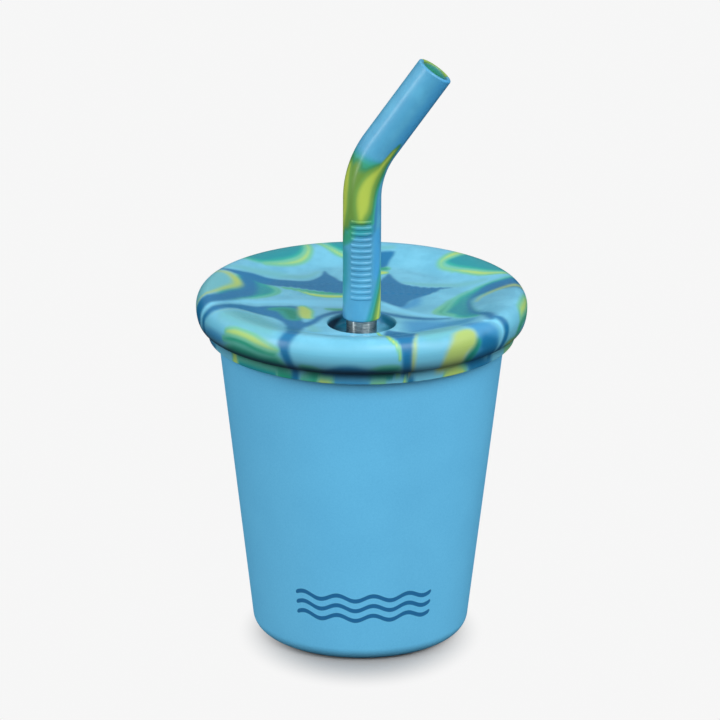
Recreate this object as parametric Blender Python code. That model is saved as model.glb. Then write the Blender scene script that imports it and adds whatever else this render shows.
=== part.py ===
"""A child's straw cup: a steel cup, a stretch-on silicone lid, a steel straw and its silicone flex tip.

Run it with: blender --background --python part.py. Units are metres, +Z is up, and the origin is the
centre of the cup's foot on the table. The straw stands at -Y of the cup's axis and its tip bends to +X.
"""

import math

import bmesh
import bpy
from mathutils import Matrix, Vector

# Driving dimensions
CUP_BASE_R = 0.0285          # wall line carried down to the table
CUP_TAPER = 0.1167           # radius gained per metre of height
CUP_NECK_Z = 0.0824          # the wall straightens here, under the lid's skirt
CUP_HEIGHT = 0.0930          # top of the rolled lip
CORNER_R = 0.00435           # between foot and wall, outside
STEEL = 0.0005               # wall of the drawn cup
LIP_R = 0.0008               # radius of the rolled lip's section
LIP_CENTRE_R = 0.03875
PANEL_LIFT = 0.0015          # the base panel stands clear of the table
PANEL_R = 0.0195
FOOT_INNER_R = 0.0210

LID_R = 0.0440               # widest part of the lid's rolled flange
LID_CREST = (0.0407, 0.0951)  # highest ring of the flange: radius, height
FLANGE_BOTTOM_Z = 0.0860
DISH_Z = 0.0920              # flat floor of the dished top
DISH_FLAT_R = 0.0276
LID_SHEET = 0.0020           # thickness of the dish
SKIRT_BOTTOM_Z = 0.0825
SKIRT_INNER_R = 0.0399
SKIRT_OUTER_R = (0.0407, 0.0410)  # at its lower edge, under the flange
PLUG_R = (0.0354, 0.0375)    # the ring that sits inside the cup's mouth
PLUG_BOTTOM_Z = 0.0882
FIT_GAP = 0.0003             # between parts that touch

WELL_Y = -0.0181             # straw axis, and the well it stands in
WELL_R = 0.0091
WELL_FLOOR_R = 0.0085
WELL_DEPTH = 0.0028
WELL_WALL = 0.0018
COLLAR_R = 0.0062            # guides the straw under the well
COLLAR_BOTTOM_Z = 0.0845

STRAW_R = 0.0040
STRAW_BORE_R = 0.0036
STRAW_FOOT_Z = 0.0065
STRAW_LENGTH = 0.1120
FLARE_R = 0.0049             # rolled foot that stops the straw leaving the lid
FLARE_LENGTH = 0.0012

TIP_R = 0.0050
TIP_BORE_R = 0.00375
TIP_EDGE_R = 0.0005          # rounding of its two ends
TIP_BOTTOM_Z = 0.0935
ELBOW_Z = 0.1342             # where the two straight centrelines cross
ELBOW_BEND = math.radians(35.2)
ELBOW_R = 0.0250
MOUTH_LENGTH = 0.0328        # from that crossing to the drinking end
SPLIT_R = 0.0062             # ball surface on which the tip's two ends meet

ROUND = 60                   # facets round the cup and lid
SMALL_ROUND = 32             # facets round the straw, tip and well
SHARP = math.radians(35)

COATED_STEEL = ("powder_coat", (0.085, 0.385, 0.640), 0.55, 0.0)
BARE_STEEL = ("straw_steel", (0.600, 0.590, 0.570), 0.28, 1.0)
LID_SILICONE = ("lid_silicone", (0.180, 0.590, 0.760), 0.45, 0.0)
TIP_SILICONE = ("tip_silicone", (0.130, 0.480, 0.680), 0.40, 0.0)


def clear_scene():
    for obj in list(bpy.data.objects):
        bpy.data.objects.remove(obj, do_unlink=True)


def material(spec):
    """A plain Principled material, shared by name."""
    name, colour, roughness, metallic = spec
    found = bpy.data.materials.get(name)
    if found:
        return found
    made = bpy.data.materials.new(name)
    made.use_nodes = True
    shader = made.node_tree.nodes["Principled BSDF"]
    shader.inputs["Base Color"].default_value = (*colour, 1.0)
    shader.inputs["Roughness"].default_value = roughness
    shader.inputs["Metallic"].default_value = metallic
    return made


def new_object(name, bm, spec=None):
    """Turns a bmesh into a smooth-shaded object. With no material it is a cutter, which isn't part of the cup."""
    bmesh.ops.recalc_face_normals(bm, faces=bm.faces)
    mesh = bpy.data.meshes.new(name)
    bm.to_mesh(mesh)
    bm.free()
    mesh.shade_smooth()
    mesh.set_sharp_from_angle(angle=SHARP)
    obj = bpy.data.objects.new(name, mesh)
    bpy.context.scene.collection.objects.link(obj)
    if spec:
        mesh.materials.append(material(spec))
    else:
        obj.hide_render = True
        obj.display_type = "WIRE"
    return obj


def arc(centre, radius, start, end, steps):
    """Points of an arc in the (radius, height) plane, angles in degrees, both ends included."""
    angles = [math.radians(start + (end - start) * i / steps) for i in range(steps + 1)]
    return [(centre[0] + radius * math.cos(a), centre[1] + radius * math.sin(a)) for a in angles]


def turned(name, profile, spec=None, facets=ROUND, centre_y=0.0):
    """Spins a closed (radius, height) outline round the vertical axis at centre_y."""
    bm = bmesh.new()
    verts = [bm.verts.new((r, centre_y, z)) for r, z in profile]
    edges = [bm.edges.new((verts[i - 1], verts[i])) for i in range(len(verts))]
    on_axis = [e for e in edges if all(abs(v.co.x) < 1e-9 for v in e.verts)]
    bmesh.ops.delete(bm, geom=on_axis, context="EDGES_FACES")
    edges = [e for e in edges if e.is_valid]
    bmesh.ops.spin(bm, geom=verts + edges, cent=(0, centre_y, 0), axis=(0, 0, 1),
                   angle=2 * math.pi, steps=facets, use_merge=True)
    bmesh.ops.remove_doubles(bm, verts=bm.verts, dist=1e-6)
    return new_object(name, bm, spec)


def boolean(obj, cutter, operation="DIFFERENCE"):
    made = obj.modifiers.new(operation.lower() + "_" + cutter.name, "BOOLEAN")
    made.object = cutter
    made.operation = operation
    made.solver = "EXACT"


def wall_r(z):
    """Outside radius of the tapered wall at height z."""
    return CUP_BASE_R + CUP_TAPER * z


def cup_outline():
    """Base panel, foot, corner, wall and rolled lip outside, then back down the inside."""
    lean = math.atan(CUP_TAPER)
    corner = (wall_r(CORNER_R) - CORNER_R / math.cos(lean), CORNER_R)
    lip = (LIP_CENTRE_R, CUP_HEIGHT - LIP_R)
    wall_angle = -math.degrees(lean)
    outside = [(0, PANEL_LIFT), (PANEL_R, PANEL_LIFT), (FOOT_INNER_R, 0)]
    outside += arc(corner, CORNER_R, -90, wall_angle, 5)
    outside += [(wall_r(CUP_NECK_Z), CUP_NECK_Z)]
    rolled = arc(lip, LIP_R, -115, 180, 9)
    inside = [(wall_r(CUP_NECK_Z) - STEEL, CUP_NECK_Z)]
    inside += arc(corner, CORNER_R - STEEL, wall_angle, -90, 5)
    inside += [(FOOT_INNER_R, STEEL), (PANEL_R, PANEL_LIFT + STEEL), (0, PANEL_LIFT + STEEL)]
    return outside + rolled + inside


def dish_outline(steps=6):
    """The dished top from the crest in to the edge of its flat floor, as a smooth S."""
    crest_r, crest_z = LID_CREST
    points = []
    for i in range(1, steps + 1):
        t = i / steps
        ease = t * t * (3 - 2 * t)
        points.append((crest_r + (DISH_FLAT_R - crest_r) * t, crest_z + (DISH_Z - crest_z) * ease))
    return points


def flange_outline(steps=12):
    """The rolled flange from its underside, round its widest ring, to the crest: two quarter ovals."""
    crest_r, crest_z = LID_CREST
    widest_z = 0.0908
    under_r = 0.0423
    points = []
    for i in range(steps // 2):
        a = math.pi / 2 * i / (steps // 2)
        points.append((under_r + (LID_R - under_r) * math.sin(a),
                       widest_z - (widest_z - FLANGE_BOTTOM_Z) * math.cos(a)))
    for i in range(steps // 2 + 1):
        a = math.pi / 2 * i / (steps // 2)
        points.append((crest_r + (LID_R - crest_r) * math.cos(a),
                       widest_z + (crest_z - widest_z) * math.sin(a)))
    return points


def lid_outline():
    """Underside of the dish, plug ring, groove for the lip, skirt, flange and dish."""
    groove_z = CUP_HEIGHT + FIT_GAP
    under_z = DISH_Z - LID_SHEET
    edge = 0.0003
    return [
        (0, under_z),
        (PLUG_R[0], under_z),
        (PLUG_R[0] + edge, PLUG_BOTTOM_Z),
        (PLUG_R[1] - edge, PLUG_BOTTOM_Z),
        (PLUG_R[1], PLUG_BOTTOM_Z + 4 * edge),
        (PLUG_R[1], groove_z),
        (SKIRT_INNER_R, groove_z),
        (SKIRT_INNER_R, SKIRT_BOTTOM_Z + edge),
        (SKIRT_INNER_R + edge, SKIRT_BOTTOM_Z),
        (SKIRT_OUTER_R[0] - edge, SKIRT_BOTTOM_Z),
        (SKIRT_OUTER_R[0], SKIRT_BOTTOM_Z + edge),
        (SKIRT_OUTER_R[1], FLANGE_BOTTOM_Z),
        *flange_outline(),
        *dish_outline(),
        (0, DISH_Z),
    ]


def make_cup():
    return turned("cup_body", cup_outline(), COATED_STEEL)


def make_lid():
    """The lid's ring-shaped moulding, with the straw's well and guide collar let into its dish."""
    floor_z = DISH_Z - WELL_DEPTH
    boss_r = WELL_R + WELL_WALL
    boss_bottom = floor_z - WELL_WALL
    inside_dish = DISH_Z - LID_SHEET / 2
    lid = turned("lid", lid_outline(), LID_SILICONE)
    boss = turned("well_boss", [(0, COLLAR_BOTTOM_Z), (COLLAR_R, COLLAR_BOTTOM_Z), (COLLAR_R, boss_bottom),
                                (boss_r, boss_bottom), (boss_r, inside_dish), (0, inside_dish)],
                  facets=SMALL_ROUND, centre_y=WELL_Y)
    above = DISH_Z + 2 * WELL_DEPTH
    draft = (WELL_R - WELL_FLOOR_R) / WELL_DEPTH
    well = turned("well_cutter", [(0, floor_z), (WELL_FLOOR_R, floor_z),
                                  (WELL_FLOOR_R + draft * (above - floor_z), above), (0, above)],
                  facets=SMALL_ROUND, centre_y=WELL_Y)
    below = COLLAR_BOTTOM_Z - WELL_DEPTH
    bore_r = STRAW_R + FIT_GAP
    bore = turned("bore_cutter", [(0, below), (bore_r, below), (bore_r, above), (0, above)],
                  facets=SMALL_ROUND, centre_y=WELL_Y)
    boolean(lid, boss, "UNION")
    boolean(lid, well)
    boolean(lid, bore)
    return lid


def make_straw():
    foot, top = STRAW_FOOT_Z, STRAW_FOOT_Z + STRAW_LENGTH
    flare = FLARE_R - STRAW_R
    outline = [
        (STRAW_BORE_R + flare, foot),
        (FLARE_R, foot),
        (FLARE_R, foot + FLARE_LENGTH / 3),
        (STRAW_R, foot + FLARE_LENGTH),
        (STRAW_R, top),
        (STRAW_BORE_R, top),
        (STRAW_BORE_R, foot + FLARE_LENGTH),
    ]
    return turned("straw_tube", outline, BARE_STEEL, facets=SMALL_ROUND, centre_y=WELL_Y)


class TipLine:
    """The flex tip's centreline: straight up, round the elbow, then straight to the drinking end."""

    def __init__(self):
        self.tangent_length = ELBOW_R * math.tan(ELBOW_BEND / 2)
        self.bend_start = ELBOW_Z - self.tangent_length - TIP_BOTTOM_Z
        self.bend_end = self.bend_start + ELBOW_R * ELBOW_BEND
        self.middle = (self.bend_start + self.bend_end) / 2
        self.end = self.bend_end + MOUTH_LENGTH - self.tangent_length

    def frame(self, along):
        """Matrix whose origin is the centreline point that far along, and whose Z is its direction."""
        angle = min(max((along - self.bend_start) / ELBOW_R, 0), ELBOW_BEND)
        point = Vector((0, WELL_Y, TIP_BOTTOM_Z + min(along, self.bend_start)))
        point += Vector((ELBOW_R * (1 - math.cos(angle)), 0, ELBOW_R * math.sin(angle)))
        direction = Vector((math.sin(angle), 0, math.cos(angle)))
        point += direction * max(along - self.bend_end, 0)
        return Matrix.Translation(point) @ Matrix.Rotation(angle, 4, "Y")

    def stations(self, start, end, step=0.0022):
        """Distances along the line between start and end, closely spaced only round the elbow."""
        first, last = max(start, self.bend_start), min(end, self.bend_end)
        count = max(1, round((last - first) / step))
        bend = [first + (last - first) * i / count for i in range(count + 1)]
        return [s for s in [start, *bend, end] if start <= s <= end]


def swept(name, line, outline, spec):
    """A closed tube whose outline is a loop of (distance along the line, radius)."""
    bm = bmesh.new()
    rings = []
    for along, radius in outline:
        frame = line.frame(along)
        ring = []
        for i in range(SMALL_ROUND):
            a = 2 * math.pi * i / SMALL_ROUND
            ring.append(bm.verts.new(frame @ Vector((radius * math.cos(a), radius * math.sin(a), 0))))
        rings.append(ring)
    for here, after in zip(rings, rings[1:] + rings[:1]):
        for i in range(SMALL_ROUND):
            j = (i + 1) % SMALL_ROUND
            bm.faces.new((here[i], here[j], after[j], after[i]))
    return new_object(name, bm, spec)


def unique(values):
    """The values in order, without near repeats."""
    kept = []
    for value in values:
        if not kept or abs(value - kept[-1]) > 1e-6:
            kept.append(value)
    return kept


def ball(name, centre, radius):
    bm = bmesh.new()
    bmesh.ops.create_uvsphere(bm, u_segments=SMALL_ROUND, v_segments=SMALL_ROUND // 2, radius=radius,
                              matrix=Matrix.Translation(centre))
    return new_object(name, bm)


def make_tip_sleeve(line):
    """The tip's lower end: a socket over the steel straw, up to the ball surface inside the elbow."""
    socket_r = STRAW_R + FIT_GAP
    socket_end = STRAW_FOOT_Z + STRAW_LENGTH + FIT_GAP - TIP_BOTTOM_Z
    past = line.middle + SPLIT_R
    edge = TIP_EDGE_R
    up = unique(line.stations(edge, past))
    down = unique(line.stations(socket_end, past))[::-1]
    outline = [(0, TIP_R - edge), *[(s, TIP_R) for s in up], *[(s, TIP_BORE_R) for s in down],
               (socket_end, socket_r), (edge / 2, socket_r), (0, socket_r + edge / 4)]
    sleeve = swept("flex_tip_sleeve", line, outline, TIP_SILICONE)
    middle = line.frame(line.middle)
    bm = bmesh.new()
    reach = 4 * SPLIT_R
    bmesh.ops.create_cube(bm, size=reach, matrix=middle @ Matrix.Translation((0, 0, reach / 2)))
    beyond = new_object("sleeve_cutter", bm)
    boolean(beyond, ball("sleeve_ball", middle.translation, SPLIT_R - FIT_GAP / 2))
    boolean(sleeve, beyond)
    return sleeve


def make_tip_mouthpiece(line):
    """The tip's drinking end, from the same ball surface to its open mouth."""
    edge = TIP_EDGE_R
    up = unique(line.stations(line.middle, line.end - edge))
    outline = [*[(s, TIP_R) for s in up], (line.end, TIP_R - edge), (line.end, TIP_BORE_R + edge / 2),
               (line.end - edge, TIP_BORE_R), *[(s, TIP_BORE_R) for s in up[::-1][1:]]]
    mouthpiece = swept("flex_tip_mouthpiece", line, outline, TIP_SILICONE)
    middle = line.frame(line.middle).translation
    boolean(mouthpiece, ball("mouthpiece_ball", middle, SPLIT_R + FIT_GAP / 2))
    return mouthpiece


def main():
    clear_scene()
    make_cup()
    make_lid()
    make_straw()
    line = TipLine()
    make_tip_sleeve(line)
    make_tip_mouthpiece(line)


main()
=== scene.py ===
"""Looks of a child's straw cup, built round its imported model.

Units are metres, +Z is up, and the cup's foot stands round the origin. The straw stands at -Y of the cup's
axis and its silicone tip bends towards +X. The points of the dye strokes are in millimetres.
"""

import math

import bmesh
import bpy
import numpy as np
from mathutils import Matrix, Vector


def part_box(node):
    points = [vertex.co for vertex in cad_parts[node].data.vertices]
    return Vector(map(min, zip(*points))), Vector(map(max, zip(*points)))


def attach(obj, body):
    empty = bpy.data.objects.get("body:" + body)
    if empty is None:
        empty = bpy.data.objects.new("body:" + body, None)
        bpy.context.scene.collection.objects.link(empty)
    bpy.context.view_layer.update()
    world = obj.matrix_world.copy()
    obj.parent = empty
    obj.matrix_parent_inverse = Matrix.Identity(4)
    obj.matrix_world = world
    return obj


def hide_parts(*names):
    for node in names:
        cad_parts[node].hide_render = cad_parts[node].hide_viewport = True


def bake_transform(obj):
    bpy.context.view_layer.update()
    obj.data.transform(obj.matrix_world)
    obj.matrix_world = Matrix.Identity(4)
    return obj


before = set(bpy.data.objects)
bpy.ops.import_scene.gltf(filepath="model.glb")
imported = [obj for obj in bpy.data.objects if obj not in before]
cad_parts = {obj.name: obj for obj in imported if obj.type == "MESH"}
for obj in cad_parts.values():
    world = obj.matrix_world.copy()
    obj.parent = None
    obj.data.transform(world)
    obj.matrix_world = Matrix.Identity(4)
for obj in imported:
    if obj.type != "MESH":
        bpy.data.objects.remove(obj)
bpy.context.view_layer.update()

MM = 0.001

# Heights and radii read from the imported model
CUP_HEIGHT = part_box("cup_body")[1].z
LID_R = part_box("lid")[1].x
LID_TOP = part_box("lid")[1].z
SKIRT_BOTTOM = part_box("lid")[0].z
STRAW_FOOT, STRAW_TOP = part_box("straw_tube")[0].z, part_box("straw_tube")[1].z
TIP_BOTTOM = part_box("flex_tip_sleeve")[0].z
STRAW_Y = (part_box("straw_tube")[0].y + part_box("straw_tube")[1].y) / 2

# Cup
CUP_BASE_R = 28.5 * MM  # where the line of the wall meets the table
CUP_TAPER = 0.1167  # radius gained for each unit of height
CUP_NECK_Z = 82.4 * MM
CORNER_R = 4.35 * MM
STEEL = 0.5 * MM
COAT = 0.06 * MM
LIP_R = 0.8 * MM
LIP_CENTRE_R = 38.72 * MM
UNDER_LIP = (0.36 * MM, 1.6 * MM)  # where the coat ends: in from the lip's centre and below it
PANEL_LIFT = 1.5 * MM
PANEL_R = 19.5 * MM
FOOT_INNER_R = 21.0 * MM
PANEL_FILLET = 1.2 * MM
FOOT_FILLET = 0.8 * MM
LIP_START = -108  # degrees round the lip's section, where the bare steel starts

# Lid
CREST_R = 40.7 * MM
WIDEST_Z = 90.8 * MM
FLANGE_BOTTOM_Z = 86.0 * MM
FLANGE_UNDER_R = 42.3 * MM
DISH_Z = 92.0 * MM
DISH_FLAT_R = 27.6 * MM
LID_SHEET = 2.0 * MM
SKIRT_INNER_R = 39.9 * MM
SKIRT_OUTER_R = (40.7 * MM, 41.0 * MM)
PLUG_R = (35.4 * MM, 37.5 * MM)
PLUG_BOTTOM_Z = 88.2 * MM
GROOVE_Z = CUP_HEIGHT + 0.3 * MM
WELL_R = 9.1 * MM
WELL_FLOOR_R = 8.5 * MM
WELL_DEPTH = 2.8 * MM
WELL_LIP_R = 9.55 * MM  # where the well's rounded edge begins
WELL_BOSS_R = 10.9 * MM
WELL_BOSS_DROP = 1.8 * MM  # the boss's underside below the well's floor
COLLAR_R = 6.2 * MM
COLLAR_BOTTOM_Z = 84.5 * MM
LID_EDGE_R = 0.3 * MM
LID_FILLET = 0.6 * MM
DISH_RINGS = 84
UNDER_RINGS = 15

# Straw and tip
STRAW_R = 4.0 * MM
STRAW_BORE_R = 3.6 * MM
FLARE_R = 4.9 * MM
FLARE_HEIGHT = 1.2 * MM
SNUG = 0.1 * MM  # silicone on steel
TIP_R = 5.0 * MM
TIP_BORE_R = 3.75 * MM
TIP_EDGE_R = 0.5 * MM
MOUTH_LIP_R = 0.35 * MM
ELBOW_Z = 134.2 * MM
ELBOW_BEND = math.radians(35.2)
ELBOW_R = 25.0 * MM
MOUTH_LENGTH = 32.69 * MM  # from the elbow's corner

CUP_FACETS = 240
LID_FACETS = 384
STRAW_FACETS = 96
TIP_FACETS = 144

# Colours as a screen shows them, 0 to 255
COAT_TONES = ((99, 189, 235), (103, 194, 239))
COAT_FLECKS = ((93, 182, 230), (110, 201, 244))
PRINT_INK = (36, 108, 160)
STRAW_STEEL = ((100, 116, 120), (206, 216, 216))  # in the brush strokes and between them
INSIDE_STEEL = ((168, 172, 174), (226, 224, 220))

# A dye is laid on in steps, each from one share of cover to another, so that an edge runs through the
# colours between it and the base.
LID_BASE = ((112, 188, 216), (100, 176, 205))
# The flange's base colour: even and light, partly a painted highlight along the roll
LID_ROLL_BASE = (108, 187, 215)
LID_DYES = {
    "haze": [(0, 1, (104, 178, 190))],
    "mid": [(0, 1, (62, 144, 192))],
    # line is a pale dye line, and in two strokes painted light and a painted highlight
    "line": [(0, 1, (120, 200, 232))],
    "teal": [(0, 0.4, (92, 180, 176)), (0.3, 0.62, (44, 164, 152)), (0.55, 1, (32, 142, 154))],
    "green": [(0, 0.5, (90, 178, 160)), (0.4, 1, (40, 154, 126))],
    "blue": [(0, 1, (26, 112, 160))],
    "moss": [(0, 0.5, (40, 142, 138)), (0.4, 1, (22, 128, 108))],
    "lime": [(0, 0.5, (108, 186, 154)), (0.4, 1, (170, 204, 112))],
    "gold": [(0, 1, (164, 190, 106))],
}
TIP_BASE = ((86, 164, 200), (78, 154, 192))
TIP_DYES = {
    "deep": [(0, 1, (70, 156, 208))],
    "mid": [(0, 1, (56, 128, 172))],
    "teal": [(0, 1, (50, 150, 160))],
    "green": [(0, 0.5, (62, 158, 150)), (0.4, 1, (58, 156, 122))],
    "moss": [(0, 0.5, (40, 124, 130)), (0.4, 1, (38, 116, 84))],
    "olive": [(0, 0.4, (60, 140, 96)), (0.3, 1, (104, 146, 64))],
    "lime": [(0, 0.4, (112, 158, 76)), (0.3, 1, (176, 198, 84))],
}


def linear(colour):
    """A screen colour, 0 to 255, as linear RGBA."""
    parts = [c / 255 for c in colour]
    return (*[p / 12.92 if p <= 0.04045 else ((p + 0.055) / 1.055) ** 2.4 for p in parts], 1.0)


# ---- shapes


def add_object(name, data):
    obj = bpy.data.objects.new(name, data)
    bpy.context.scene.collection.objects.link(obj)
    return obj


def arc(centre, radius, start, end, steps, rise=None):
    """Points of an arc in the (radius, height) plane, angles in degrees, both ends included.

    rise is its upright radius where that is another."""
    rise = rise or radius
    angles = [math.radians(start + (end - start) * i / steps) for i in range(steps + 1)]
    return [(centre[0] + radius * math.cos(a), centre[1] + rise * math.sin(a)) for a in angles]


def between(start, end, steps):
    """Points strictly between two (radius, height) points."""
    return [tuple(a + (b - a) * i / steps for a, b in zip(start, end)) for i in range(1, steps)]


def rounded(outline, radii, steps=5):
    """The outline with each listed corner replaced by a fillet: radii maps a corner's index to its radius."""
    points = []
    count = len(outline)
    for i, corner in enumerate(outline):
        radius = radii.get(i)
        if not radius:
            points.append(corner)
            continue
        here = Vector(corner)
        before = (Vector(outline[i - 1]) - here).normalized()
        after = (Vector(outline[(i + 1) % count]) - here).normalized()
        half = before.angle(after) / 2
        reach = radius / math.tan(half)
        centre = here + (before + after).normalized() * radius / math.sin(half)
        first = (here + before * reach - centre).normalized()
        last = (here + after * reach - centre).normalized()
        for k in range(steps + 1):
            points.append(tuple(centre + first.slerp(last, k / steps).normalized() * radius))
    return points


def ring_mesh(name, rings):
    """A closed body from an array (rings, points, xyz). Each ring joins the next, and the last the first."""
    count, around = rings.shape[:2]
    row = np.arange(count)[:, None] * around
    after_row = (np.arange(count)[:, None] + 1) % count * around
    column = np.arange(around)[None, :]
    after_column = (column + 1) % around
    faces = np.stack([row + column, row + after_column, after_row + after_column, after_row + column], -1)
    mesh = bpy.data.meshes.new(name)
    mesh.from_pydata(rings.reshape(-1, 3).tolist(), [], faces.reshape(-1, 4).tolist())
    return add_object(name, mesh)


def close_poles(obj):
    """Merges rings that shrink to a point on the axis."""
    bm = bmesh.new()
    bm.from_mesh(obj.data)
    bmesh.ops.remove_doubles(bm, verts=bm.verts, dist=1e-7)
    bm.to_mesh(obj.data)
    bm.free()


def finish_mesh(obj, *materials):
    """Faces out, smooth shading, materials on."""
    bm = bmesh.new()
    bm.from_mesh(obj.data)
    bmesh.ops.recalc_face_normals(bm, faces=bm.faces)
    if bm.calc_volume(signed=True) < 0:
        bmesh.ops.reverse_faces(bm, faces=bm.faces)
    bm.to_mesh(obj.data)
    bm.free()
    obj.data.shade_smooth()
    for material in materials:
        obj.data.materials.append(material)


def circles(profile, facets, centre_y=0.0):
    """Rings of a turned body. profile is (radius, height); centre_y is one for all rings, or one for each."""
    profile = np.array(profile, float)
    offsets = np.broadcast_to(centre_y, len(profile))
    angles = np.arange(facets) * 2 * math.pi / facets
    x = profile[:, :1] * np.cos(angles)
    y = profile[:, :1] * np.sin(angles) + offsets[:, None]
    z = np.broadcast_to(profile[:, 1:], x.shape)
    return np.stack([x, y, z], -1)


def point_attribute(mesh, name, values, kind="FLOAT"):
    made = mesh.attributes.new(name, kind, "POINT")
    field = "vector" if kind == "FLOAT_VECTOR" else "value"
    made.data.foreach_set(field, np.asarray(values, np.float32).ravel())


def smoothstep(low, high, value):
    t = np.clip((value - low) / (high - low), 0, 1)
    return t * t * (3 - 2 * t)


def raised_bar(across, along, half, flank_in, flank_out):
    """1 on top of a raised bar and 0 beside it, from the distances across and along it from its middle.

    The others are (width, length): the bar's half size and how far its flank reaches in and out from it."""
    top = 1.0
    for i, distance in enumerate((across, along)):
        top = top * smoothstep(half[i] + flank_out[i], half[i] - flank_in[i], np.abs(distance))
    return top


# ---- dye


def smooth_path(points, closed):
    """The points joined by a smooth curve, each with all its numbers."""
    steps = 6
    points = np.array(points, float)
    if not closed:
        points = np.vstack((2 * points[0] - points[1], points, 2 * points[-1] - points[-2]))
    before, after, beyond = (np.roll(points, k, 0) for k in (1, -1, -2))
    path = []
    for i in range(steps):
        t = i / steps
        weights = ((-t + 2 * t * t - t ** 3) / 2, (2 - 5 * t * t + 3 * t ** 3) / 2,
                   (t + 4 * t * t - 3 * t ** 3) / 2, (t ** 3 - t * t) / 2)
        path.append(sum(w * p for w, p in zip(weights, (before, points, after, beyond))))
    path = np.stack(path, 1)
    if closed:
        return path.reshape(-1, points.shape[1])
    return np.vstack((path[1:-2].reshape(-1, points.shape[1]), points[-2]))


def nearest_on(u, v, start, end):
    """How far along the stretch from start to end the nearest point to each (u, v) lies, and its distance."""
    du, dv = end[0] - start[0], end[1] - start[1]
    along = np.clip(((u - start[0]) * du + (v - start[1]) * dv) / max(du * du + dv * dv, 1e-9), 0, 1)
    return along, np.hypot(u - start[0] - along * du, v - start[1] - along * dv)


def stroke_cover(points, u, v, soft):
    """How far a brush stroke covers each (u, v), 0 to 1. points are (u, v, half width), all in mm."""
    path = smooth_path(points, False)
    inside = np.full(u.shape, -np.inf)
    for start, end in zip(path, path[1:]):
        along, distance = nearest_on(u, v, start, end)
        inside = np.maximum(inside, start[2] + (end[2] - start[2]) * along - distance)
    return smoothstep(-soft, soft, inside)


def patch_cover(outline, u, v, soft):
    """How far a patch with a smooth outline covers each (u, v), 0 to 1. outline is (u, v) points in mm."""
    loop = smooth_path(outline, True)
    cover = np.zeros(u.shape)
    near = (u > loop[:, 0].min() - soft) & (u < loop[:, 0].max() + soft)
    near &= (v > loop[:, 1].min() - soft) & (v < loop[:, 1].max() + soft)
    a, b = u[near], v[near]
    nearest = np.full(a.shape, np.inf)
    inside = np.zeros(a.shape, bool)
    for start, end in zip(loop, np.roll(loop, -1, 0)):
        nearest = np.minimum(nearest, nearest_on(a, b, start, end)[1])
        if start[1] != end[1]:
            crossing = start[0] + (b - start[1]) * (end[0] - start[0]) / (end[1] - start[1])
            inside ^= ((start[1] > b) != (end[1] > b)) & (a < crossing)
    cover[near] = smoothstep(-soft, soft, np.where(inside, nearest, -nearest))
    return cover


def paint(mesh, dyes, strokes, u, v, wrap=0):
    """Stores how much of each dye lies on each vertex. strokes is a list of (dye, softness, points).

    wrap is the length after which u comes round again."""
    cover = {dye: np.zeros(len(u)) for dye in dyes}
    for dye, soft, points in strokes:
        for shift in (-wrap, 0, wrap) if wrap else (0,):
            laid = stroke_cover if len(points[0]) == 3 else patch_cover
            cover[dye] = np.maximum(cover[dye], laid(points, u + shift, v, soft))
    for dye, values in cover.items():
        point_attribute(mesh, "dye_" + dye, values)


def stirred(u, v):
    """The lid's coordinates bent a little, in mm, as stirring bends the edges of the dyes."""
    sway = 0.3
    return u + sway * np.sin(0.45 * v + 1.3), v + sway * np.sin(0.4 * u + 0.4)
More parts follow.
